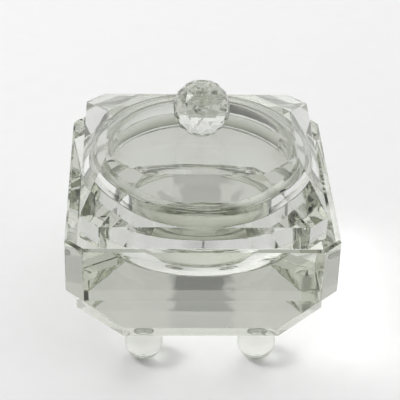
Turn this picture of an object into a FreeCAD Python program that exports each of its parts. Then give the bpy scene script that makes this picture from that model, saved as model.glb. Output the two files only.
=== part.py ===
"""Lidded cut-glass liquid dish for a nail bench: a faceted block with a round bowl, on four ball feet,
with a loose faceted lid.  The lid is a plate with sloping facets up to a flat table and a round hollow
under it, a locating ring bonded into the hollow and a faceted ball knob bonded on the table.

Frame: +Z up, millimetres, origin on the bench surface under the middle of the block.  X is the dish's
width and -Y its front.
"""
import FreeCAD, Part

import math
import os

import Sketcher
from FreeCAD import Vector

# alias, value, what it is
DIMENSIONS = [
    ("block_width", 64.0, "block across X, at the walls"),
    ("block_depth", 64.0, "block across Y, at the walls"),
    ("block_corner_cut", 4.2, "leg of the 45 degree corner cut at the walls"),
    ("base_inset", 2.0, "how far the base stands inside the walls, each side"),
    ("base_corner_cut", 11.4, "leg of the 45 degree corner cut at the base"),
    ("base_band_height", 2.4, "upright band round the base"),
    ("taper_height", 9.5, "sloping facets between the band and the walls"),
    ("wall_height", 14.2, "upright walls up to the rim face"),
    ("rim_bevel", 0.6, "ground bevel round the rim face"),
    ("rim_wall", 6.5, "glass between the bowl's mouth and the nearest wall"),
    ("bowl_lip_height", 4.0, "straight mouth that guides the locating ring"),
    ("bowl_floor_thickness", 13.1, "glass under the bowl"),
    ("foot_radius", 4.6, "glass ball foot"),
    ("foot_rest_radius", 1.2, "ground flat that the foot stands on"),
    ("foot_bond_radius", 2.6, "ground flat that is bonded to the base"),
    ("foot_inset_width", 5.0, "foot's centre inside the end of the base's front or back face"),
    ("foot_inset_depth", 3.5, "foot's centre behind the base's front or back face"),
    ("bond_thickness", 0.12, "film of clear adhesive"),
    ("bond_margin", 0.2, "bare edge that the adhesive leaves round a joint"),
    ("lid_side_ledge", 3.5, "rim face left bare at each side of the lid"),
    ("lid_end_ledge", 0.5, "rim face left bare before and behind the lid"),
    ("lid_corner_cut", 4.5, "leg of the lid's 45 degree corner cut"),
    ("lid_edge_height", 6.0, "upright edge of the lid"),
    ("lid_slope_height", 6.6, "rise of the sloping facets up to the table"),
    ("lid_slope_width", 6.0, "how far the facets lean in across X"),
    ("lid_slope_depth", 12.0, "how far the facets lean in across Y"),
    ("lid_table_corner_cut", 8.5, "leg of the table's 45 degree corner cut"),
    ("lid_hollow_depth", 5.0, "round hollow under the lid"),
    ("ring_clearance", 0.4, "gap round the locating ring in the mouth"),
    ("ring_wall", 2.9, "locating ring, outside to inside"),
    ("ring_reach", 3.0, "how far the ring drops into the mouth"),
    ("ring_bevel", 0.5, "bevel round the ring's lower outer edge"),
    ("knob_radius", 6.9, "faceted ball, at its corners"),
    ("knob_rings", 8, "rings of corners from the foot of the ball to its table"),
    ("knob_sides", 12, "corners in each ring"),
    ("knob_pole_angle", 15.0, "angle from the ball's poles to the first ring"),
]

doc = FreeCAD.newDocument("liquid_dish")
sheet = doc.addObject("Spreadsheet::Sheet", "dimensions")
for line, (alias, value, meaning) in enumerate(DIMENSIONS, start=1):
    sheet.set(f"A{line}", alias)
    sheet.set(f"B{line}", str(value))
    sheet.setAlias(f"B{line}", alias)
    sheet.set(f"C{line}", meaning)
doc.recompute()

# Heights of the stack, from the bench surface up, as formulas on the sheet.
FOOT_CENTRE = "sqrt(pow(dimensions.foot_radius; 2) - pow(dimensions.foot_rest_radius; 2))"
FOOT_TOP = f"({FOOT_CENTRE} + sqrt(pow(dimensions.foot_radius; 2) - pow(dimensions.foot_bond_radius; 2)))"
BASE_Z = f"({FOOT_TOP} + dimensions.bond_thickness)"
BAND_Z = f"({BASE_Z} + dimensions.base_band_height)"
WALL_Z = f"({BAND_Z} + dimensions.taper_height)"
RIM_Z = f"({WALL_Z} + dimensions.wall_height)"
LID_EDGE_Z = f"({RIM_Z} + dimensions.lid_edge_height)"
TABLE_Z = f"({LID_EDGE_Z} + dimensions.lid_slope_height)"
HOLLOW_Z = f"({RIM_Z} + dimensions.lid_hollow_depth)"
LIP_Z = f"({RIM_Z} - dimensions.bowl_lip_height)"

# Sizes that follow from the block, as formulas on the sheet.
BASE_HALF_WIDTH = "(dimensions.block_width / 2 - dimensions.base_inset)"
BASE_HALF_DEPTH = "(dimensions.block_depth / 2 - dimensions.base_inset)"
FOOT_X = f"({BASE_HALF_WIDTH} - dimensions.base_corner_cut - dimensions.foot_inset_width)"
FOOT_Y = f"({BASE_HALF_DEPTH} - dimensions.foot_inset_depth)"
BOWL_RADIUS = "(min(dimensions.block_width; dimensions.block_depth) / 2 - dimensions.rim_wall)"
BOWL_CURVE = f"({LIP_Z} - {BASE_Z} - dimensions.bowl_floor_thickness)"
LID_HALF_WIDTH = "(dimensions.block_width / 2 - dimensions.lid_side_ledge)"
LID_HALF_DEPTH = "(dimensions.block_depth / 2 - dimensions.lid_end_ledge)"
RING_RADIUS = f"({BOWL_RADIUS} - dimensions.ring_clearance)"
RING_BORE = f"({RING_RADIUS} - dimensions.ring_wall)"
KNOB_FLAT = "(dimensions.knob_radius * sin(dimensions.knob_pole_angle) * cos(180 / dimensions.knob_sides))"

# How far the bowl's cut runs above the rim face, so that it opens the block cleanly.
CUT_OVERRUN = 1.0
# A cut that leaves more of the solid than this share has missed it.
MOST_LEFT_BY_A_CUT = 0.9
# Edges count as level, and radii as equal, within this many millimetres.
TOLERANCE = 1e-4
ORIGIN_POINT = (-1, 1)
X_AXIS = -1
Y_AXIS = -2

subparts = []


def label(item, name):
    """Names a sub-part and puts it on the list of pieces that are written out."""
    item.Label = name
    subparts.append(item)
    return item


def origin_plane(body, role):
    """One of the body's own origin planes, such as XY_Plane."""
    for feature in body.Origin.OriginFeatures:
        if feature.Role == role:
            return feature
    raise ValueError(role)


def new_body(name):
    """A new body whose label names a sub-part."""
    body = doc.addObject("PartDesign::Body", name)
    return label(body, name)


def new_sketch(body, name, role="XY_Plane", height=None):
    """A sketch on one of the body's origin planes, raised to a height formula."""
    sketch = body.newObject("Sketcher::SketchObject", name)
    sketch.AttachmentSupport = [(origin_plane(body, role), "")]
    sketch.MapMode = "FlatFace"
    if height is not None:
        sketch.setExpression("AttachmentOffset.Base.z", height)
    return sketch


def bind(sketch, constraint, name, formula):
    """Adds a named constraint to a sketch and binds it to a formula."""
    index = sketch.addConstraint(constraint)
    sketch.renameConstraint(index, name)
    sketch.setExpression(f"Constraints.{name}", formula)


def octagon(body, name, height, half_width, half_depth, cut):
    """A closed rectangle with cut corners, centred on the Z axis, from four size formulas."""
    sketch = new_sketch(body, name, height=height)
    # A drawn start of the right kind; the constraints below give it its size.
    wide, deep, leg = 20.0, 18.0, 3.0
    corners = [
        (wide, leg - deep), (wide, deep - leg), (wide - leg, deep), (leg - wide, deep),
        (-wide, deep - leg), (-wide, leg - deep), (leg - wide, -deep), (wide - leg, -deep),
    ]
    points = [Vector(x, y, 0) for x, y in corners]
    for start, end in zip(points, points[1:] + points[:1]):
        sketch.addGeometry(Part.LineSegment(start, end), False)
    count = len(points)
    for side in range(count):
        sketch.addConstraint(Sketcher.Constraint("Coincident", side, 2, (side + 1) % count, 1))
    right, back, left, front = 0, 2, 4, 6
    for side, axis in ((right, X_AXIS), (left, X_AXIS), (back, Y_AXIS), (front, Y_AXIS)):
        sketch.addConstraint(Sketcher.Constraint("Symmetric", side, 1, side, 2, axis))
    bind(sketch, Sketcher.Constraint("DistanceX", *ORIGIN_POINT, right, 1, wide), "to_right", half_width)
    bind(sketch, Sketcher.Constraint("DistanceX", left, 1, *ORIGIN_POINT, wide), "to_left", half_width)
    bind(sketch, Sketcher.Constraint("DistanceY", *ORIGIN_POINT, back, 1, deep), "to_back", half_depth)
    bind(sketch, Sketcher.Constraint("DistanceY", front, 1, *ORIGIN_POINT, deep), "to_front", half_depth)
    side_length = f"2 * ({half_depth} - ({cut}))"
    face_length = f"2 * ({half_width} - ({cut}))"
    bind(sketch, Sketcher.Constraint("Distance", right, 2 * (deep - leg)), "right_length", side_length)
    bind(sketch, Sketcher.Constraint("Distance", left, 2 * (deep - leg)), "left_length", side_length)
    bind(sketch, Sketcher.Constraint("Distance", back, 2 * (wide - leg)), "back_length", face_length)
    bind(sketch, Sketcher.Constraint("Distance", front, 2 * (wide - leg)), "front_length", face_length)
    return sketch


def pad(body, name, sketch, length):
    """Pads a sketch upwards by a length formula."""
    feature = body.newObject("PartDesign::Pad", name)
    feature.Profile = sketch
    feature.setExpression("Length", length)
    return feature


def facets(body, name, lower, upper):
    """Flat sloping facets between two cut-cornered outlines."""
    feature = body.newObject("PartDesign::AdditiveLoft", name)
    feature.Profile = lower
    feature.Sections = [upper]
    feature.Ruled = True
    return feature


def edges_at(shape, height):
    """Names of the straight edges that lie level at a height."""
    names = []
    for number, edge in enumerate(shape.Edges, start=1):
        box = edge.BoundBox
        level = abs(box.ZMin - height) < TOLERANCE and abs(box.ZMax - height) < TOLERANCE
        if level and edge.Curve.TypeId == "Part::GeomLine":
            names.append(f"Edge{number}")
    return names


def revolve(body, kind, name, sketch):
    """Turns a sketch on the XZ plane once round the Z axis."""
    feature = body.newObject(kind, name)
    feature.Profile = sketch
    feature.ReferenceAxis = (sketch, ["V_Axis"])
    feature.Angle = 360.0
    return feature


def make_block():
    """The block: base band, sloping facets, upright walls, bevelled rim face and the bowl."""
    body = new_body("dish_block")
    foot = (BASE_HALF_WIDTH, BASE_HALF_DEPTH, "dimensions.base_corner_cut")
    wall = ("dimensions.block_width / 2", "dimensions.block_depth / 2", "dimensions.block_corner_cut")

    base = octagon(body, "base_outline", BASE_Z, *foot)
    pad(body, "base_band", base, "dimensions.base_band_height")
    band = octagon(body, "band_outline", BAND_Z, *foot)
    waist = octagon(body, "waist_outline", WALL_Z, *wall)
    facets(body, "sloping_facets", band, waist)
    walls_outline = octagon(body, "walls_outline", WALL_Z, *wall)
    walls = pad(body, "walls", walls_outline, "dimensions.wall_height")
    doc.recompute()

    rim_height = walls.Shape.BoundBox.ZMax
    bevel = body.newObject("PartDesign::Chamfer", "rim_face_bevel")
    bevel.Base = (walls, edges_at(walls.Shape, rim_height))
    bevel.setExpression("Size", "dimensions.rim_bevel")
    doc.recompute()
    solid_volume = bevel.Shape.Volume

    profile = new_sketch(body, "bowl_profile", role="XZ_Plane")
    # A drawn start near the finished shape; the constraints below give it its size.
    radius, curve, mouth, top = 25.0, 9.0, 30.0, 35.0
    centre = Vector(radius - curve, mouth, 0)
    low = mouth - curve
    profile.addGeometry(Part.LineSegment(Vector(0, top, 0), Vector(radius, top, 0)), False)
    profile.addGeometry(Part.LineSegment(Vector(radius, top, 0), Vector(radius, mouth, 0)), False)
    circle = Part.Circle(centre, Vector(0, 0, 1), curve)
    profile.addGeometry(Part.ArcOfCircle(circle, -math.pi / 2, 0), False)
    profile.addGeometry(Part.LineSegment(Vector(radius - curve, low, 0), Vector(0, low, 0)), False)
    profile.addGeometry(Part.LineSegment(Vector(0, low, 0), Vector(0, top, 0)), False)
    over, lip, bend, floor, middle = range(5)
    joints = ((over, 2, lip, 1), (lip, 2, bend, 2), (bend, 1, floor, 1), (floor, 2, middle, 1), (middle, 2, over, 1))
    for joint in joints:
        profile.addConstraint(Sketcher.Constraint("Coincident", *joint))
    profile.addConstraint(Sketcher.Constraint("Horizontal", over))
    profile.addConstraint(Sketcher.Constraint("Horizontal", floor))
    profile.addConstraint(Sketcher.Constraint("Vertical", lip))
    profile.addConstraint(Sketcher.Constraint("PointOnObject", middle, 1, Y_AXIS))
    profile.addConstraint(Sketcher.Constraint("PointOnObject", middle, 2, Y_AXIS))
    bind(profile, Sketcher.Constraint("DistanceX", *ORIGIN_POINT, lip, 1, radius), "mouth_radius", BOWL_RADIUS)
    bind(profile, Sketcher.Constraint("DistanceY", *ORIGIN_POINT, lip, 1, top), "overrun",
         f"{RIM_Z} + {CUT_OVERRUN}")
    bind(profile, Sketcher.Constraint("DistanceY", *ORIGIN_POINT, lip, 2, mouth), "lip_bottom", LIP_Z)
    bind(profile, Sketcher.Constraint("DistanceX", *ORIGIN_POINT, bend, 3, radius - curve), "bend_centre_out",
         f"{BOWL_RADIUS} - {BOWL_CURVE}")
    bind(profile, Sketcher.Constraint("DistanceY", *ORIGIN_POINT, bend, 3, mouth), "bend_centre_up", LIP_Z)
    profile.addConstraint(Sketcher.Constraint("Vertical", bend, 1, bend, 3))
    bowl = revolve(body, "PartDesign::Groove", "bowl", profile)
    doc.recompute()
    if bowl.Shape.Volume > MOST_LEFT_BY_A_CUT * solid_volume:
        raise RuntimeError("the bowl cut nothing")


def make_foot(name, side_x, side_y):
    """A glass ball with a ground flat to stand on and another to be bonded by."""
    body = new_body(name)
    profile = new_sketch(body, f"{name}_profile", role="XZ_Plane")
    # A drawn start near the finished shape; the constraints below give it its size.
    radius, rest, bond = 4.6, 1.2, 2.6
    centre = Vector(0, math.sqrt(radius ** 2 - rest ** 2), 0)
    top = centre.y + math.sqrt(radius ** 2 - bond ** 2)
    circle = Part.Circle(centre, Vector(0, 0, 1), radius)
    start = -math.acos(rest / radius)
    end = math.acos(bond / radius)
    profile.addGeometry(Part.LineSegment(Vector(0, 0, 0), Vector(rest, 0, 0)), False)
    profile.addGeometry(Part.ArcOfCircle(circle, start, end), False)
    profile.addGeometry(Part.LineSegment(Vector(bond, top, 0), Vector(0, top, 0)), False)
    profile.addGeometry(Part.LineSegment(Vector(0, top, 0), Vector(0, 0, 0)), False)
    under, ball, over, middle = range(4)
    for joint in ((under, 2, ball, 1), (ball, 2, over, 1), (over, 2, middle, 1), (middle, 2, under, 1)):
        profile.addConstraint(Sketcher.Constraint("Coincident", *joint))
    profile.addConstraint(Sketcher.Constraint("Coincident", under, 1, *ORIGIN_POINT))
    profile.addConstraint(Sketcher.Constraint("Horizontal", under))
    profile.addConstraint(Sketcher.Constraint("Horizontal", over))
    profile.addConstraint(Sketcher.Constraint("PointOnObject", ball, 3, Y_AXIS))
    profile.addConstraint(Sketcher.Constraint("PointOnObject", over, 2, Y_AXIS))
    bind(profile, Sketcher.Constraint("DistanceX", under, 1, under, 2, rest), "rest_flat",
         "dimensions.foot_rest_radius")
    bind(profile, Sketcher.Constraint("DistanceX", over, 2, over, 1, bond), "bond_flat",
         "dimensions.foot_bond_radius")
    bind(profile, Sketcher.Constraint("Radius", ball, radius), "ball_radius", "dimensions.foot_radius")
    revolve(body, "PartDesign::Revolution", f"{name}_ball", profile)
    body.setExpression("Placement.Base.x", f"{side_x} * {FOOT_X}")
    body.setExpression("Placement.Base.y", f"{side_y} * {FOOT_Y}")


def make_bond(name, radius, height, side_x=0, side_y=0):
    """A thin disc of clear adhesive that starts at a height formula."""
    film = label(doc.addObject("Part::Cylinder", name), name)
    film.setExpression("Radius", f"{radius} - dimensions.bond_margin")
    film.setExpression("Height", "dimensions.bond_thickness")
    film.setExpression("Placement.Base.x", f"{side_x} * {FOOT_X}")
    film.setExpression("Placement.Base.y", f"{side_y} * {FOOT_Y}")
    film.setExpression("Placement.Base.z", height)


def round_sketch(body, name, height, *radii):
    """Level circles about the Z axis, each bound to a radius formula."""
    sketch = new_sketch(body, name, height=height)
    # Drawn starts, the outer circle first; the constraints give the circles their size.
    for number, (formula, drawn) in enumerate(zip(radii, (25.0, 22.0))):
        sketch.addGeometry(Part.Circle(Vector(0, 0, 0), Vector(0, 0, 1), drawn), False)
        sketch.addConstraint(Sketcher.Constraint("Coincident", number, 3, *ORIGIN_POINT))
        bind(sketch, Sketcher.Constraint("Radius", number, drawn), f"radius_{number}", formula)
    return sketch


def make_lid_plate():
    """The lid: an upright edge, sloping facets up to a flat table, and a round hollow underneath."""
    body = new_body("lid_plate")
    outline = (LID_HALF_WIDTH, LID_HALF_DEPTH, "dimensions.lid_corner_cut")
    table = (f"{LID_HALF_WIDTH} - dimensions.lid_slope_width", f"{LID_HALF_DEPTH} - dimensions.lid_slope_depth",
             "dimensions.lid_table_corner_cut")
    underside = octagon(body, "lid_outline", RIM_Z, *outline)
    pad(body, "lid_edge", underside, "dimensions.lid_edge_height")
    edge_top = octagon(body, "edge_top", LID_EDGE_Z, *outline)
    table_outline = octagon(body, "table_outline", TABLE_Z, *table)
    slopes = facets(body, "lid_slopes", edge_top, table_outline)
    doc.recompute()
    solid_volume = slopes.Shape.Volume

    mouth = round_sketch(body, "hollow_outline", RIM_Z, BOWL_RADIUS)
    hollow = body.newObject("PartDesign::Pocket", "lid_hollow")
    hollow.Profile = mouth
    hollow.Reversed = True
    hollow.setExpression("Length", "dimensions.lid_hollow_depth")
    doc.recompute()
    if hollow.Shape.Volume > MOST_LEFT_BY_A_CUT * solid_volume:
        raise RuntimeError("the lid's hollow cut nothing")


def make_locating_ring():
    """The ring that is bonded into the lid's hollow and drops into the bowl's mouth."""
    body = new_body("lid_locating_ring")
    bottom = f"{RIM_Z} - dimensions.ring_reach"
    outline = round_sketch(body, "ring_outline", bottom, RING_RADIUS, RING_BORE)
    ring = pad(body, "ring", outline,
               "dimensions.ring_reach + dimensions.lid_hollow_depth - dimensions.bond_thickness")
    doc.recompute()
    low = ring.Shape.BoundBox.ZMin
    widest = max(edge.Curve.Radius for edge in ring.Shape.Edges if edge.Curve.TypeId == "Part::GeomCircle")
    lower_edges = [f"Edge{number}" for number, edge in enumerate(ring.Shape.Edges, start=1)
                   if edge.BoundBox.ZMax < low + TOLERANCE and abs(edge.Curve.Radius - widest) < TOLERANCE]
    bevel = body.newObject("PartDesign::Chamfer", "ring_edge_bevel")
    bevel.Base = (ring, lower_edges)
    bevel.setExpression("Size", "dimensions.ring_bevel")


def make_ring_bond():
    """The flat ring of adhesive between the locating ring and the hollow's ceiling."""
    body = new_body("ring_bond")
    outline = round_sketch(body, "film_outline", f"{HOLLOW_Z} - dimensions.bond_thickness",
                           f"{RING_RADIUS} - dimensions.bond_margin", f"{RING_BORE} + dimensions.bond_margin")
    pad(body, "film", outline, "dimensions.bond_thickness")


def size(alias):
    """A number from the dimensions sheet."""
    return float(sheet.get(alias))


def knob_shape():
    """A ball of flat triangular facets between staggered rings, with a flat table at each pole."""
    rings = []
    pole = math.radians(size("knob_pole_angle"))
    count = int(size("knob_rings"))
    sides = int(size("knob_sides"))
    step = (math.pi - 2 * pole) / (count - 1)
    for ring in range(count):
        polar = math.pi - pole - ring * step
        turn = math.pi / sides * (ring % 2)
        out = size("knob_radius") * math.sin(polar)
        up = size("knob_radius") * (math.cos(polar) + math.cos(pole))
        corners = [Vector(out * math.cos(2 * math.pi * side / sides + turn),
                          out * math.sin(2 * math.pi * side / sides + turn), up) for side in range(sides)]
        rings.append(corners)

    def facet(*corners):
        return Part.Face(Part.makePolygon(list(corners) + [corners[0]]))

    faces = [facet(*rings[0]), facet(*rings[-1])]
    for ring, (lower, upper) in enumerate(zip(rings, rings[1:])):
        # The upper ring is half a side ahead of the lower one on even rings and half a side behind on odd ones.
        lead = ring % 2
        for side in range(sides):
            after = (side + 1) % sides
            if lead == 0:
                faces.append(facet(lower[side], lower[after], upper[side]))
                faces.append(facet(upper[side], lower[after], upper[after]))
            else:
                faces.append(facet(lower[side], lower[after], upper[after]))
                faces.append(facet(upper[side], lower[side], upper[after]))
    solid = Part.Solid(Part.Shell(faces))
    if solid.Volume < 0:
        solid.reverse()
    return solid


def make_knob():
    """The faceted ball on the lid's table."""
    knob = label(doc.addObject("Part::Feature", "lid_knob"), "lid_knob")
    knob.Shape = knob_shape()
    knob.setExpression("Placement.Base.z", f"{TABLE_Z} + dimensions.bond_thickness")


FEET = {"front_left": (-1, -1), "front_right": (1, -1), "rear_left": (-1, 1), "rear_right": (1, 1)}

make_block()
for place, (side_x, side_y) in FEET.items():
    make_foot(f"foot_{place}", side_x, side_y)
    make_bond(f"foot_bond_{place}", "dimensions.foot_bond_radius", FOOT_TOP, side_x, side_y)
make_lid_plate()
make_locating_ring()
make_ring_bond()
make_knob()
make_bond("knob_bond", KNOB_FLAT, TABLE_Z)
doc.recompute()

for item in doc.Objects:
    if "Invalid" in item.State or "Error" in item.State:
        raise RuntimeError(f"{item.Name} failed: {item.State}")
for item in subparts:
    if item.Shape.isNull() or not item.Shape.isValid():
        raise RuntimeError(f"{item.Label} has no valid shape")

os.makedirs("parts", exist_ok=True)
for item in subparts:
    item.Shape.exportStep(os.path.join("parts", f"{item.Label}.step"))
    box = item.Shape.BoundBox
    print(f"{item.Label}: volume {item.Shape.Volume:.1f}, z {box.ZMin:.3f} to {box.ZMax:.3f}")
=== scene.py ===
"""Looks of a lidded cut-glass liquid dish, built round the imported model.

The block, the lid, its locating ring, the faceted ball knob, the ball feet and the films of clear
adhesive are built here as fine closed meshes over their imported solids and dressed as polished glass.
All lengths are in metres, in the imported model's own frame.
"""

import logging
import math
from dataclasses import dataclass, field
from enum import Enum
from typing import Any, Callable, Iterable, Sequence

import bpy
from mathutils import Matrix, Vector


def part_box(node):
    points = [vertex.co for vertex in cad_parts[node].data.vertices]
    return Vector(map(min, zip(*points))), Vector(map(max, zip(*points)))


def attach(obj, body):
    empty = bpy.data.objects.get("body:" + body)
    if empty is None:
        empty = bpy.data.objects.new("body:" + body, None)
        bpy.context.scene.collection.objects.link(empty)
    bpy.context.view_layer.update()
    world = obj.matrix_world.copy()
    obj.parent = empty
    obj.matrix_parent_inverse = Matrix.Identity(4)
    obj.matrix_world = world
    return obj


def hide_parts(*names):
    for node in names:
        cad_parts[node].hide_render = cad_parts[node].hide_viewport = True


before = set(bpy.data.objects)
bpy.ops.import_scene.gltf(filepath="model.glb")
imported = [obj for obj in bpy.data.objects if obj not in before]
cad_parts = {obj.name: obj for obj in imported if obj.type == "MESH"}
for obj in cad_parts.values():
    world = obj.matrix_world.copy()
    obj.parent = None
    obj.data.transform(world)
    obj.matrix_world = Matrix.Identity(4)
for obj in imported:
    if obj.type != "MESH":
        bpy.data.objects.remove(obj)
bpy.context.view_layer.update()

MM = 0.001
log = logging.getLogger("liquid_dish")

Colour = tuple[float, float, float, float]
Point = tuple[float, float, float]


class Shade(Enum):
    """How a band of faces is shaded."""

    FLAT = False
    ROUND = True


class Body(Enum):
    """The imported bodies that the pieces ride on."""

    DISH = "dish"
    LID = "lid"


class Slot(Enum):
    """The record's material slots."""

    BLOCK = "block_glass"
    LID = "lid_glass"
    KNOB = "knob_glass"
    FOOT = "foot_glass"
    ADHESIVE = "clear_adhesive"


# ---------------------------------------------------------------- node graphs


class Wire:
    """An output socket that builds Math nodes when it is used in an expression."""

    def __init__(self, graph: "Graph", socket: bpy.types.NodeSocket) -> None:
        """Keeps the graph that new nodes go into, and the socket itself."""
        self.graph = graph
        self.socket = socket

    def _math(self, operation: str, *operands: Any) -> "Wire":
        """A Math node over the operands."""
        return self.graph.node("ShaderNodeMath", {"operation": operation}, dict(enumerate(operands)))

    def __add__(self, other: Any) -> "Wire":
        """Sum."""
        return self._math("ADD", self, other)

    def __sub__(self, other: Any) -> "Wire":
        """Difference."""
        return self._math("SUBTRACT", self, other)

    def __rsub__(self, other: Any) -> "Wire":
        """Difference from a number."""
        return self._math("SUBTRACT", other, self)

    def __mul__(self, other: Any) -> "Wire":
        """Product."""
        return self._math("MULTIPLY", self, other)

    def __rmul__(self, other: Any) -> "Wire":
        """Product with a number first."""
        return self._math("MULTIPLY", other, self)

    def __truediv__(self, other: Any) -> "Wire":
        """Quotient."""
        return self._math("DIVIDE", self, other)

    def __mod__(self, other: Any) -> "Wire":
        """Remainder."""
        return self._math("MODULO", self, other)

    def __gt__(self, other: Any) -> "Wire":
        """1 where this is the greater, else 0."""
        return self._math("GREATER_THAN", self, other)

    def __lt__(self, other: Any) -> "Wire":
        """1 where this is the lesser, else 0."""
        return self._math("LESS_THAN", self, other)

    def at_least(self, other: Any) -> "Wire":
        """The greater of the two."""
        return self._math("MAXIMUM", self, other)

    def at_most(self, other: Any) -> "Wire":
        """The lesser of the two."""
        return self._math("MINIMUM", self, other)

    def call(self, operation: str, *others: Any) -> "Wire":
        """Any other Math operation with this as its first operand."""
        return self._math(operation, self, *others)


class Graph:
    """Builds nodes in a shader or a geometry tree."""

    def __init__(self, tree: bpy.types.NodeTree) -> None:
        """Keeps the tree that nodes are added to."""
        self.tree = tree

    def raw(self, kind: str, settings: dict[str, Any], inputs: dict[Any, Any]) -> bpy.types.Node:
        """Adds a node.

        Args:
            kind: the node's type.
            settings: its properties, which are set before its sockets.
            inputs: values or wires by socket name or number.

        Returns:
            The node.
        """
        node = self.tree.nodes.new(kind)
        for name, value in settings.items():
            setattr(node, name, value)
        for key, value in inputs.items():
            socket = node.inputs[key]
            if isinstance(value, Wire):
                self.tree.links.new(value.socket, socket)
            else:
                socket.default_value = value
        return node

    def node(self, kind: str, settings: dict[str, Any], inputs: dict[Any, Any], output: Any = 0) -> Wire:
        """Adds a node and returns one of its outputs as a wire.

        Args:
            kind: the node's type.
            settings: its properties.
            inputs: values or wires by socket name or number.
            output: the name or number of the output that is wanted.

        Returns:
            The output, ready for expressions.
        """
        return Wire(self, self.raw(kind, settings, inputs).outputs[output])


# ---------------------------------------------------------------- finishes


@dataclass(frozen=True)
class GlassFinish:
    """Polished clear glass: a faint tint, handling smears, a slight pressed wave and fine specks."""

    name: str
    clean_tint: Colour = (0.99, 0.992, 0.987, 1.0)
    smeared_tint: Colour = (0.945, 0.95, 0.94, 1.0)
    index: float = 1.52
    polish: float = 0.0
    smear_roughness: float = 0.035
    smear_scale: float = 55.0
    smear_detail: float = 5.0
    smear_grain: float = 0.6
    smear_twist: float = 1.2
    smear_start: float = 0.52
    smear_gain: float = 4.0
    smear_tint_share: float = 0.6
    wave_scale: float = 90.0
    wave_depth: float = 0.00004
    wave_detail: float = 1.5
    speck_scale: float = 420.0
    speck_radius: float = 0.07
    speck_patch: float = 5.0
    speck_rarity: float = 0.62
    speck_roughness: float = 0.3
    body_colour: Colour = (0.85, 0.86, 0.815, 1.0)
    body_density: float = 30.0

    def material(self) -> bpy.types.Material:
        """Builds the material.

        Returns:
            A node material with refraction, absorption, smears, specks and a slight wave.
        """
        made = bpy.data.materials.new(self.name)
        made.use_nodes = True
        made.node_tree.nodes.clear()
        graph = Graph(made.node_tree)
        place = graph.node("ShaderNodeTexCoord", {}, {}, "Object")
        smear = graph.node(
            "ShaderNodeTexNoise",
            {},
            {
                "Vector": place,
                "Scale": self.smear_scale,
                "Detail": self.smear_detail,
                "Roughness": self.smear_grain,
                "Distortion": self.smear_twist,
            },
        )
        smear_mask = ((smear - self.smear_start) * self.smear_gain).at_least(0.0).at_most(1.0)
        cell = graph.node("ShaderNodeTexVoronoi", {}, {"Vector": place, "Scale": self.speck_scale})
        patch_scale = self.speck_scale / self.speck_patch
        chance = graph.node("ShaderNodeTexNoise", {}, {"Vector": place, "Scale": patch_scale})
        speck = (cell < self.speck_radius) * (chance > self.speck_rarity)
        tinted = (smear_mask * self.smear_tint_share + speck).at_most(1.0)
        tint = graph.node(
            "ShaderNodeMix",
            {"data_type": "RGBA"},
            {0: tinted, 6: self.clean_tint, 7: self.smeared_tint},
            2,
        )
        wave = graph.node(
            "ShaderNodeTexNoise",
            {},
            {"Vector": place, "Scale": self.wave_scale, "Detail": self.wave_detail},
        )
        relief = graph.node(
            "ShaderNodeBump", {}, {"Strength": 1.0, "Distance": self.wave_depth, "Height": wave}
        )
        smeared = smear_mask * smear_mask * self.smear_roughness
        roughness = smeared + speck * self.speck_roughness + self.polish
        shader = graph.node(
            "ShaderNodeBsdfPrincipled",
            {},
            {
                "Base Color": tint,
                "Roughness": roughness,
                "IOR": self.index,
                "Transmission Weight": 1.0,
                "Normal": relief,
            },
        )
        inside = graph.node(
            "ShaderNodeVolumeAbsorption", {}, {"Color": self.body_colour, "Density": self.body_density}
        )
        graph.raw("ShaderNodeOutputMaterial", {}, {"Surface": shader, "Volume": inside})
        return made


@dataclass(frozen=True)
class PaperFinish:
    """The pale paper that the dish stands on."""

    name: str = "pale_paper"
    light: Colour = (0.94, 0.94, 0.94, 1.0)
    dark: Colour = (0.91, 0.91, 0.91, 1.0)
    grain: float = 160.0
    fibre_detail: float = 4.0
    roughness: float = 0.9

    def material(self) -> bpy.types.Material:
        """Builds the matt paper material."""
        made = bpy.data.materials.new(self.name)
        made.use_nodes = True
        made.node_tree.nodes.clear()
        graph = Graph(made.node_tree)
        place = graph.node("ShaderNodeTexCoord", {}, {}, "Object")
        paper_noise = {"Vector": place, "Scale": self.grain, "Detail": self.fibre_detail}
        fibre = graph.node("ShaderNodeTexNoise", {}, paper_noise)
        shades = {0: fibre, 6: self.light, 7: self.dark}
        colour = graph.node("ShaderNodeMix", {"data_type": "RGBA"}, shades, 2)
        paint = {"Base Color": colour, "Roughness": self.roughness}
        shader = graph.node("ShaderNodeBsdfPrincipled", {}, paint)
        graph.raw("ShaderNodeOutputMaterial", {}, {"Surface": shader})
        return made


# ---------------------------------------------------------------- mesh building


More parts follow.
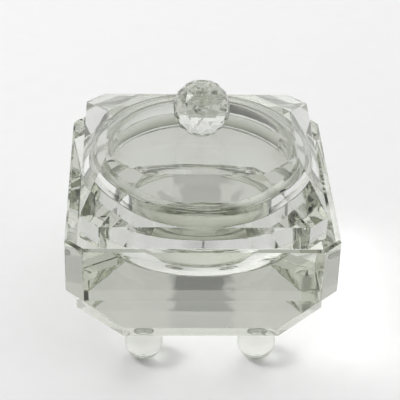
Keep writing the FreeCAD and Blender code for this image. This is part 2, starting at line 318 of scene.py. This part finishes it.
@dataclass(frozen=True)
class Outline:
    """A level rectangle with 45 degree cut corners and softened edges."""

    height: float
    half_width: float
    half_depth: float
    cut: float
    soft: float = 0.25 * MM
    long_steps: int = 24
    short_steps: int = 6
    soft_steps: int = 2

    def inset(self, height: float, by: float) -> "Outline":
        """The same outline drawn in all round, at another height."""
        cut = self.cut - by * (2 - math.sqrt(2))
        return Outline(height, self.half_width - by, self.half_depth - by, cut, self.soft)

    def corners(self) -> list[Vector]:
        """The eight corners, anticlockwise from the right side's front end."""
        wide, deep, cut = self.half_width, self.half_depth, self.cut
        plan = [
            (wide, cut - deep), (wide, deep - cut), (wide - cut, deep), (cut - wide, deep),
            (-wide, deep - cut), (-wide, cut - deep), (cut - wide, -deep), (wide - cut, -deep),
        ]
        return [Vector((x, y, self.height)) for x, y in plan]

    def points(self) -> list[Vector]:
        """The whole outline, anticlockwise.

        Returns:
            For each side its evenly spaced points, and at each corner a short round.
        """
        corners = self.corners()
        count = len(corners)
        ring: list[Vector] = []
        for index, corner in enumerate(corners):
            after = corners[(index + 1) % count]
            beyond = corners[(index + 2) % count]
            steps = self.long_steps if index % 2 == 0 else self.short_steps
            along = (after - corner).normalized()
            start = corner + along * self.soft
            end = after - along * self.soft
            ring += [start.lerp(end, step / steps) for step in range(steps + 1)]
            leave = after + (beyond - after).normalized() * self.soft
            for step in range(1, self.soft_steps):
                share = step / self.soft_steps
                ring.append(end.lerp(after, share).lerp(after.lerp(leave, share), share))
        return ring


def circle(radius: float, height: float, like: Sequence[Vector]) -> list[Vector]:
    """A level circle whose points stand at the same bearings as another ring's."""
    bearings = [math.atan2(point.y, point.x) for point in like]
    return [Vector((radius * math.cos(turn), radius * math.sin(turn), height)) for turn in bearings]


class MeshMaker:
    """Joins rings of points into one closed mesh."""

    def __init__(self, name: str) -> None:
        """Starts an empty mesh for a named piece."""
        self.name = name
        self.points: list[Vector] = []
        self.faces: list[tuple[int, ...]] = []
        self.round_faces: list[bool] = []

    def ring(self, points: Sequence[Vector]) -> range:
        """Adds a ring's points and returns their numbers."""
        start = len(self.points)
        self.points += points
        return range(start, start + len(points))

    def band(self, lower: range, upper: range, shade: Shade) -> None:
        """Joins two rings of equal count with a band of four-sided faces."""
        count = len(lower)
        for index in range(count):
            after = (index + 1) % count
            self.faces.append((lower[index], lower[after], upper[after], upper[index]))
            self.round_faces.append(shade.value)

    def cap(self, ring: range, upwards: bool, shade: Shade = Shade.FLAT) -> None:
        """Closes a ring with one flat face."""
        self.faces.append(tuple(ring) if upwards else tuple(reversed(ring)))
        self.round_faces.append(shade.value)

    def build(self, material: bpy.types.Material) -> bpy.types.Object:
        """Makes the object.

        Args:
            material: the finish of all its faces.

        Returns:
            A linked object at the origin with its place in its mesh.
        """
        mesh = bpy.data.meshes.new(self.name)
        mesh.from_pydata([tuple(point) for point in self.points], [], self.faces)
        mesh.polygons.foreach_set("use_smooth", self.round_faces)
        mesh.materials.append(material)
        mesh.update()
        made = bpy.data.objects.new(self.name, mesh)
        bpy.context.scene.collection.objects.link(made)
        return made


def turned(name: str, profile: Sequence[tuple[float, float, Shade]], steps: int,
           material: bpy.types.Material, hollow: bool = False) -> bpy.types.Object:
    """Makes a closed round piece from its half profile.

    Args:
        name: the piece.
        profile: radius, height and the shade of the band that leads to each point, anticlockwise
            as seen with the axis on the left, so from the bottom up on the outside.
        steps: points round each ring.
        material: its finish.
        hollow: True for a ring, whose profile closes on itself and clears the axis.

    Returns:
        The piece.
    """
    maker = MeshMaker(name)
    turns = [2 * math.pi * step / steps for step in range(steps)]
    rings = []
    for radius, height, _ in profile:
        points = [Vector((radius * math.cos(turn), radius * math.sin(turn), height)) for turn in turns]
        rings.append(maker.ring(points))
    for lower, upper, (_, _, shade) in zip(rings, rings[1:], profile[1:]):
        maker.band(lower, upper, shade)
    if hollow:
        maker.band(rings[-1], rings[0], profile[0][2])
    else:
        maker.cap(rings[0], upwards=False)
        maker.cap(rings[-1], upwards=True)
    return maker.build(material)


def grown(name: str, inputs: dict[str, float | int], build: Callable[[Graph, dict[str, Wire]], Wire],
          material: bpy.types.Material) -> bpy.types.Object:
    """Makes a piece with a Geometry Nodes tree and turns it into a plain mesh.

    Args:
        name: the piece.
        inputs: the tree's named sizes and their values.
        build: adds the nodes and returns the finished geometry.
        material: its finish.

    Returns:
        The piece, with its modifier gone.
    """
    tree = bpy.data.node_groups.new(f"{name}_tree", "GeometryNodeTree")
    tree.interface.new_socket(name="Geometry", in_out="OUTPUT", socket_type="NodeSocketGeometry")
    items = {}
    for label, value in inputs.items():
        kind = "NodeSocketInt" if isinstance(value, int) else "NodeSocketFloat"
        items[label] = tree.interface.new_socket(name=label, in_out="INPUT", socket_type=kind)
    graph = Graph(tree)
    source = tree.nodes.new("NodeGroupInput")
    wires = {label: Wire(graph, source.outputs[label]) for label in inputs}
    shape = build(graph, wires)
    whole = graph.node("GeometryNodeRealizeInstances", {}, {"Geometry": shape})
    dressed = graph.node("GeometryNodeSetMaterial", {}, {"Geometry": whole, "Material": material})
    graph.raw("NodeGroupOutput", {}, {"Geometry": dressed})
    made = bpy.data.objects.new(name, bpy.data.meshes.new(name))
    bpy.context.scene.collection.objects.link(made)
    modifier = made.modifiers.new("grow", "NODES")
    modifier.node_group = tree
    for label, value in inputs.items():
        modifier[items[label].identifier] = value
    depsgraph = bpy.context.evaluated_depsgraph_get()
    mesh = bpy.data.meshes.new_from_object(made.evaluated_get(depsgraph))
    made.modifiers.clear()
    made.data = mesh
    mesh.name = name
    return made


def settle(piece: bpy.types.Object, body: Body, slot: Slot, nodes: Iterable[str]) -> None:
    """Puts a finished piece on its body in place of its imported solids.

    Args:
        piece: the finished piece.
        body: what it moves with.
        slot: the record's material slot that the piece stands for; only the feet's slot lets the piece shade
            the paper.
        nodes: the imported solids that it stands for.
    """
    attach(piece, body.value)
    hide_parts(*nodes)
    # Clear glass lets the light through to the paper, and only the feet shade it where they stand.
    piece.visible_shadow = slot is Slot.FOOT
    log.info("%s: %d faces on %s", piece.name, len(piece.data.polygons), body.value)


# ---------------------------------------------------------------- the dish


@dataclass
class Stack:
    """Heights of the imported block, how far a film bites into glass, and the gap under the seated lid."""

    base: float = field(default_factory=lambda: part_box("dish_block")[0].z)
    rim: float = field(default_factory=lambda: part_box("dish_block")[1].z)
    bite: float = 0.04 * MM
    seat_gap: float = 0.03 * MM


@dataclass
class Block:
    """The glass block: base band, sloping facets, upright walls, bevelled rim face and round bowl."""

    stack: Stack
    base_inset: float = 2.0 * MM
    base_cut: float = 11.4 * MM
    wall_cut: float = 4.2 * MM
    band_height: float = 2.4 * MM
    wall_height: float = 14.2 * MM
    rim_bevel: float = 0.6 * MM
    mouth_radius: float = 25.5 * MM
    mouth_edge: float = 0.25 * MM
    lip_height: float = 4.0 * MM
    curve_radius: float = 9.0 * MM
    curve_steps: int = 24
    lip_steps: int = 4
    floor_steps: int = 6
    edge: float = 0.2 * MM

    def outer(self) -> list[Outline]:
        """The outside, from the base up to the rim face."""
        low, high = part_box("dish_block")
        half_width = (high.x - low.x) / 2
        half_depth = (high.y - low.y) / 2
        base = self.stack.base
        rim = self.stack.rim
        foot = Outline(base, half_width - self.base_inset, half_depth - self.base_inset, self.base_cut)
        wall = Outline(rim, half_width, half_depth, self.wall_cut)
        return [
            foot.inset(base, self.edge),
            foot.inset(base + self.edge, 0.0),
            foot.inset(base + self.band_height, 0.0),
            wall.inset(rim - self.wall_height, 0.0),
            wall.inset(rim - self.rim_bevel, 0.0),
            wall.inset(rim, self.rim_bevel),
        ]

    def bowl(self) -> list[tuple[float, float, Shade]]:
        """The bowl's half profile from the mouth down to its floor."""
        rim = self.stack.rim
        radius = self.mouth_radius
        lip_low = rim - self.lip_height
        profile = [(radius + self.mouth_edge, rim, Shade.FLAT), (radius, rim - self.mouth_edge, Shade.ROUND)]
        for step in range(1, self.lip_steps + 1):
            drop = (self.lip_height - self.mouth_edge) * step / self.lip_steps
            profile.append((radius, rim - self.mouth_edge - drop, Shade.ROUND))
        centre = radius - self.curve_radius
        for step in range(1, self.curve_steps + 1):
            turn = math.pi / 2 * step / self.curve_steps
            out = centre + self.curve_radius * math.cos(turn)
            profile.append((out, lip_low - self.curve_radius * math.sin(turn), Shade.ROUND))
        for step in range(1, self.floor_steps):
            out = centre * (1 - step / self.floor_steps)
            profile.append((out, lip_low - self.curve_radius, Shade.ROUND))
        return profile

    def make(self, material: bpy.types.Material) -> None:
        """Builds the block in one closed mesh."""
        maker = MeshMaker("cut_glass_block")
        outlines = [outline.points() for outline in self.outer()]
        rings = [maker.ring(points) for points in outlines]
        maker.cap(rings[0], upwards=False)
        for lower, upper in zip(rings, rings[1:]):
            maker.band(lower, upper, Shade.FLAT)
        last = rings[-1]
        for radius, height, shade in self.bowl():
            ring = maker.ring(circle(radius, height, outlines[-1]))
            maker.band(last, ring, shade)
            last = ring
        maker.cap(last, upwards=True, shade=Shade.ROUND)
        settle(maker.build(material), Body.DISH, Slot.BLOCK, ["dish_block"])


@dataclass
class Feet:
    """Four glass balls with ground flats, and the films that bond them to the base."""

    stack: Stack
    places: tuple[str, ...] = ("front_left", "front_right", "rear_left", "rear_right")
    flat_radius: float = 2.6 * MM
    rest_radius: float = 1.2 * MM
    segments: int = 64
    rings: int = 32

    def spacing(self) -> tuple[float, float]:
        """The distances between the feet's centres, across X and across Y."""
        left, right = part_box("foot_front_left"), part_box("foot_front_right")
        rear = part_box("foot_rear_left")
        return right[0].x - left[0].x, rear[0].y - left[0].y

    def grid(self, graph: Graph, sizes: dict[str, Wire], shape: Wire) -> Wire:
        """Puts one shape at each of the four places."""
        corners = graph.node(
            "GeometryNodeMeshGrid",
            {},
            {"Size X": sizes["Across"], "Size Y": sizes["Along"], "Vertices X": 2, "Vertices Y": 2},
        )
        return graph.node("GeometryNodeInstanceOnPoints", {}, {"Points": corners, "Instance": shape})

    def balls(self, graph: Graph, sizes: dict[str, Wire]) -> Wire:
        """The tree of the four balls, cut flat above and below."""
        ball = graph.node(
            "GeometryNodeMeshUVSphere",
            {},
            {"Segments": sizes["Segments"], "Rings": sizes["Rings"], "Radius": sizes["Radius"]},
        )
        place = graph.raw("ShaderNodeSeparateXYZ", {}, {0: graph.node("GeometryNodeInputPosition", {}, {})})
        across, along, up = (Wire(graph, socket) for socket in place.outputs)
        level = up.at_most(sizes["Top flat"]).at_least(0.0 - sizes["Low flat"]) + sizes["Low flat"]
        moved = graph.node("ShaderNodeCombineXYZ", {}, {0: across, 1: along, 2: level})
        cut = graph.node("GeometryNodeSetPosition", {}, {"Geometry": ball, "Position": moved})
        smooth = graph.node("GeometryNodeSetShadeSmooth", {}, {"Geometry": cut, "Shade Smooth": True})
        return self.grid(graph, sizes, smooth)

    def films(self, graph: Graph, sizes: dict[str, Wire]) -> Wire:
        """The tree of the four discs of adhesive."""
        disc = graph.node(
            "GeometryNodeMeshCylinder",
            {},
            {"Vertices": sizes["Segments"], "Radius": sizes["Radius"], "Depth": sizes["Depth"]},
        )
        lift = graph.node("ShaderNodeCombineXYZ", {}, {2: sizes["Height"]})
        raised = graph.node("GeometryNodeTransform", {}, {"Geometry": disc, "Translation": lift})
        return self.grid(graph, sizes, raised)

    def make(self, glass: bpy.types.Material, adhesive: bpy.types.Material) -> None:
        """Builds the feet and their films."""
        across, along = self.spacing()
        low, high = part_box("foot_front_left")
        radius = (high.x - low.x) / 2
        balls = grown(
            "ball_feet",
            {
                "Across": across,
                "Along": along,
                "Radius": radius,
                "Top flat": math.sqrt(radius**2 - self.flat_radius**2),
                "Low flat": math.sqrt(radius**2 - self.rest_radius**2),
                "Segments": self.segments,
                "Rings": self.rings,
            },
            self.balls,
            glass,
        )
        settle(balls, Body.DISH, Slot.FOOT, [f"foot_{place}" for place in self.places])
        film_low, film_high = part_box("foot_bond_front_left")
        films = grown(
            "foot_adhesive_films",
            {
                "Across": across,
                "Along": along,
                "Radius": (film_high.x - film_low.x) / 2,
                "Depth": film_high.z - film_low.z + 2 * self.stack.bite,
                "Height": (film_high.z + film_low.z) / 2,
                "Segments": self.segments,
            },
            self.films,
            adhesive,
        )
        settle(films, Body.DISH, Slot.ADHESIVE, [f"foot_bond_{place}" for place in self.places])


@dataclass
class Lid:
    """The lid plate, its locating ring, the faceted ball knob and the films that bond them."""

    stack: Stack
    corner_cut: float = 4.5 * MM
    edge_height: float = 6.0 * MM
    slope_width: float = 6.0 * MM
    slope_depth: float = 12.0 * MM
    table_corner_cut: float = 8.5 * MM
    hollow_radius: float = 25.5 * MM
    hollow_depth: float = 5.0 * MM
    ring_wall: float = 2.9 * MM
    ring_bevel: float = 0.5 * MM
    edge: float = 0.2 * MM
    round_steps: int = 128
    knob_sides: int = 12
    knob_rings: int = 8
    knob_radius: float = 6.9 * MM
    pole_angle: float = 15.0

    def plate(self, material: bpy.types.Material) -> None:
        """The plate: an upright edge, sloping facets up to the table, and the hollow underneath."""
        low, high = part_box("lid_plate")
        half_width = (high.x - low.x) / 2
        half_depth = (high.y - low.y) / 2
        under = low.z + self.stack.seat_gap
        foot = Outline(under, half_width, half_depth, self.corner_cut)
        table_width = half_width - self.slope_width
        table_depth = half_depth - self.slope_depth
        table = Outline(high.z, table_width, table_depth, self.table_corner_cut)
        outlines = [
            foot.inset(under, self.edge),
            foot.inset(under + self.edge, 0.0),
            foot.inset(low.z + self.edge_height, 0.0),
            table.inset(high.z - self.edge, -self.edge),
            table.inset(high.z, self.edge),
        ]
        maker = MeshMaker("faceted_lid")
        around = outlines[0].points()
        ceiling = low.z + self.hollow_depth
        hollow = [
            (self.hollow_radius - self.edge, ceiling, Shade.FLAT),
            (self.hollow_radius, ceiling - self.edge, Shade.ROUND),
            (self.hollow_radius, under + self.edge, Shade.ROUND),
            (self.hollow_radius + self.edge, under, Shade.ROUND),
        ]
        rings = [maker.ring(circle(radius, height, around)) for radius, height, _ in hollow]
        rings += [maker.ring(outline.points()) for outline in outlines]
        shades = [shade for _, _, shade in hollow] + [Shade.FLAT] * len(outlines)
        maker.cap(rings[0], upwards=False)
        for lower, upper, shade in zip(rings, rings[1:], shades[1:]):
            maker.band(lower, upper, shade)
        maker.cap(rings[-1], upwards=True)
        settle(maker.build(material), Body.LID, Slot.LID, ["lid_plate"])

    def ring(self, glass: bpy.types.Material, adhesive: bpy.types.Material) -> None:
        """The locating ring and the film that bonds it into the hollow."""
        low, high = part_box("lid_locating_ring")
        outside = (high.x - low.x) / 2
        inside = outside - self.ring_wall
        profile = [
            (inside, low.z + self.edge, Shade.ROUND),
            (inside + self.edge, low.z, Shade.ROUND),
            (outside - self.ring_bevel, low.z, Shade.FLAT),
            (outside, low.z + self.ring_bevel, Shade.ROUND),
            (outside, high.z - self.edge, Shade.ROUND),
            (outside - self.edge, high.z, Shade.ROUND),
            (inside + self.edge, high.z, Shade.FLAT),
            (inside, high.z - self.edge, Shade.ROUND),
        ]
        ring = turned("locating_ring", profile, self.round_steps, glass, hollow=True)
        settle(ring, Body.LID, Slot.LID, ["lid_locating_ring"])
        film_low, film_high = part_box("ring_bond")
        reach = (film_high.x - film_low.x) / 2
        margin = outside - reach
        bottom = film_low.z - self.stack.bite
        top = film_high.z + self.stack.bite
        loop = [
            (inside + margin, bottom, Shade.ROUND),
            (reach, bottom, Shade.FLAT),
            (reach, top, Shade.ROUND),
            (inside + margin, top, Shade.FLAT),
        ]
        film = turned("ring_adhesive_film", loop, self.round_steps, adhesive, hollow=True)
        settle(film, Body.LID, Slot.ADHESIVE, ["ring_bond"])

    def film(self, name: str, node: str, adhesive: bpy.types.Material) -> None:
        """A film of adhesive that just bites into the glass on both of its sides."""
        low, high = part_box(node)
        radius = (high.x - low.x) / 2
        bottom = low.z - self.stack.bite
        top = high.z + self.stack.bite
        profile = [(radius, bottom, Shade.FLAT), (radius, top, Shade.ROUND)]
        settle(turned(name, profile, self.round_steps, adhesive), Body.LID, Slot.ADHESIVE, [node])

    def facets(self, graph: Graph, sizes: dict[str, Wire]) -> Wire:
        """The tree of the knob: staggered rings of corners joined by flat triangles."""
        ball = graph.node(
            "GeometryNodeMeshUVSphere",
            {},
            {"Segments": sizes["Sides"], "Rings": sizes["Rings"] + 1.0, "Radius": sizes["Radius"]},
        )
        place = graph.raw("ShaderNodeSeparateXYZ", {}, {0: graph.node("GeometryNodeInputPosition", {}, {})})
        across, along, up = (Wire(graph, socket) for socket in place.outputs)
        last = sizes["Rings"] + 1.0
        polar = (up / sizes["Radius"]).at_least(-1.0).at_most(1.0).call("ARCCOSINE")
        number = (polar * last / math.pi).call("ROUND")
        step = (math.pi - 2.0 * sizes["Pole angle"]) / (sizes["Rings"] - 1.0)
        angle = sizes["Pole angle"] + (number - 1.0) * step
        inner = (number > 0.5) * (number < last - 0.5)
        bearing = along.call("ARCTAN2", across) + (number % 2.0) * math.pi / sizes["Sides"]
        reach = angle.call("SINE") * sizes["Radius"] * inner
        flat = sizes["Pole angle"].call("COSINE")
        level = angle.call("COSINE").at_most(flat).at_least(0.0 - flat) * sizes["Radius"] + sizes["Centre"]
        corner = graph.node(
            "ShaderNodeCombineXYZ",
            {},
            {0: bearing.call("COSINE") * reach, 1: bearing.call("SINE") * reach, 2: level},
        )
        moved = graph.node("GeometryNodeSetPosition", {}, {"Geometry": ball, "Position": corner})
        return graph.node("GeometryNodeTriangulate", {}, {"Mesh": moved})

    def knob(self, glass: bpy.types.Material, adhesive: bpy.types.Material) -> None:
        """The faceted ball and the film under it."""
        low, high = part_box("lid_knob")
        knob = grown(
            "faceted_knob",
            {
                "Radius": self.knob_radius,
                "Sides": self.knob_sides,
                "Rings": self.knob_rings,
                "Pole angle": math.radians(self.pole_angle),
                "Centre": (low.z + high.z) / 2,
            },
            self.facets,
            glass,
        )
        settle(knob, Body.LID, Slot.KNOB, ["lid_knob"])
        self.film("knob_adhesive_film", "knob_bond", adhesive)


# ---------------------------------------------------------------- the studio


@dataclass(frozen=True)
class Softbox:
    """A square soft lamp, which the glass never shows from inside.

    Attributes:
        name: the lamp.
        place: where its middle is.
        size: the length of its side.
        power: its power in watts.
        mirrored: whether polished faces mirror it.
    """

    name: str
    place: Point
    size: float
    power: float
    mirrored: bool

    def make(self, aim: Vector) -> None:
        """Adds the lamp.

        Args:
            aim: the point that it's turned towards.
        """
        data = bpy.data.lights.new(self.name, "AREA")
        data.size = self.size
        data.energy = self.power
        made = bpy.data.objects.new(self.name, data)
        made.location = self.place
        made.rotation_euler = (aim - Vector(self.place)).to_track_quat("-Z", "Y").to_euler()
        made.visible_transmission = False
        made.visible_glossy = self.mirrored
        bpy.context.scene.collection.objects.link(made)


@dataclass
class Studio:
    """Pale paper, a soft sky of light, two soft lamps and the camera."""

    paper_size: float = 3.0
    camera_distance: float = 0.36963
    elevation: float = 32.5
    azimuth: float = -2.77
    roll: float = 1.76
    lens: float = 133.9
    sensor: float = 36.0
    nearest: float = 0.01
    aim: Point = (0.00025, 0.0, 0.02773)
    sky_strength: float = 1.0
    horizon: tuple[float, float] = (0.0, 0.9)
    zenith: tuple[float, float] = (1.0, 0.7)
    between: tuple[tuple[float, float], ...] = ((0.15, 0.85), (0.35, 0.75), (0.55, 0.72), (0.8, 0.65))
    front_start: float = 0.25
    front_rise: float = 3.0
    front_dark: float = 0.8
    gap: tuple[float, float] = (0.018, 0.064)
    gap_rise: float = 200.0
    gap_start: float = 0.4
    gap_dark: float = 0.6
    softboxes: tuple[Softbox, ...] = (
        Softbox("left_softbox", (-0.7, 0.1, 0.8), size=0.4, power=3.8, mirrored=True),
        Softbox("rear_softbox", (0.3, 0.8, 0.6), size=0.7, power=3.0, mirrored=False),
    )
    glass_bounces: int = 40
    mirror_bounces: int = 16

    def paper(self) -> None:
        """The sheet that the dish stands on."""
        half = self.paper_size / 2
        mesh = bpy.data.meshes.new("paper")
        corners = [(-half, -half, 0), (half, -half, 0), (half, half, 0), (-half, half, 0)]
        mesh.from_pydata(corners, [], [(0, 1, 2, 3)])
        mesh.materials.append(PaperFinish().material())
        made = bpy.data.objects.new("paper", mesh)
        bpy.context.scene.collection.objects.link(made)

    def sky(self) -> None:
        """A soft pale room, darker in front, with a narrow dark gap between two panels of light overhead."""
        world = bpy.data.worlds.new("soft_room")
        bpy.context.scene.world = world
        world.use_nodes = True
        world.node_tree.nodes.clear()
        graph = Graph(world.node_tree)
        direction = graph.node("ShaderNodeTexCoord", {}, {}, "Generated")
        split = graph.raw("ShaderNodeSeparateXYZ", {}, {0: direction})
        across, rearward, up = (Wire(graph, split.outputs[axis]) for axis in "XYZ")
        ramp = graph.raw("ShaderNodeValToRGB", {}, {0: up})
        stops = ramp.color_ramp.elements
        for stop, (position, level) in zip(stops, (self.horizon, self.zenith)):
            stop.position, stop.color = position, (level, level, level, 1)
        for position, level in self.between:
            stops.new(position).color = (level, level, level, 1)
        front = ((0.0 - rearward - self.front_start) * self.front_rise).at_least(0.0).at_most(1.0)
        left_edge, right_edge = self.gap
        gap = ((across - left_edge) * self.gap_rise).at_least(0.0).at_most(1.0)
        gap = gap * ((right_edge - across) * self.gap_rise).at_least(0.0).at_most(1.0)
        gap = gap * ((up - self.gap_start) * self.front_rise).at_least(0.0).at_most(1.0)
        shade = (1.0 - front * self.front_dark) * (1.0 - gap * self.gap_dark)
        light = graph.node(
            "ShaderNodeBackground",
            {},
            {"Color": Wire(graph, ramp.outputs[0]), "Strength": shade * self.sky_strength},
        )
        graph.raw("ShaderNodeOutputWorld", {}, {"Surface": light})

    def camera(self) -> None:
        """The camera, looking down at the dish from the front."""
        data = bpy.data.cameras.new("camera")
        data.lens = self.lens
        data.sensor_width = self.sensor
        data.clip_start = self.nearest
        rise, turn, roll = (math.radians(angle) for angle in (self.elevation, self.azimuth, self.roll))
        back = Vector((math.sin(turn) * math.cos(rise), -math.cos(turn) * math.cos(rise), math.sin(rise)))
        level = Vector((0, 0, 1)).cross(back).normalized()
        upright = back.cross(level)
        right = level * math.cos(roll) + upright * math.sin(roll)
        up = upright * math.cos(roll) - level * math.sin(roll)
        made = bpy.data.objects.new("camera", data)
        pose = Matrix((right, up, back)).transposed().to_4x4()
        pose.translation = Vector(self.aim) + back * self.camera_distance
        made.matrix_world = pose
        bpy.context.scene.collection.objects.link(made)
        bpy.context.scene.camera = made

    def make(self) -> None:
        """Sets up the whole studio."""
        self.paper()
        self.sky()
        for softbox in self.softboxes:
            softbox.make(Vector(self.aim))
        self.camera()
        cycles = bpy.context.scene.cycles
        cycles.max_bounces = self.glass_bounces
        cycles.transmission_bounces = self.glass_bounces
        cycles.glossy_bounces = self.mirror_bounces
        bpy.context.scene.view_settings.view_transform = "Standard"


def main() -> None:
    """Builds the studio, the dish and its lid."""
    logging.basicConfig(level=logging.INFO)
    Studio().make()
    stack = Stack()
    block_glass = GlassFinish("block_crystal").material()
    lid_glass = GlassFinish("lid_crystal", smear_scale=48.0).material()
    knob_glass = GlassFinish(
        "knob_crystal", smear_scale=160.0, wave_depth=0.0, body_density=75.0
    ).material()
    foot_glass = GlassFinish(
        "foot_crystal", wave_scale=240.0, wave_depth=0.00002, body_density=110.0
    ).material()
    adhesive = GlassFinish("adhesive_film", index=1.5, speck_scale=700.0).material()
    Block(stack).make(block_glass)
    Feet(stack).make(foot_glass, adhesive)
    lid = Lid(stack)
    lid.plate(lid_glass)
    lid.ring(lid_glass, adhesive)
    lid.knob(knob_glass, adhesive)


if __name__ == "__main__":
    main()
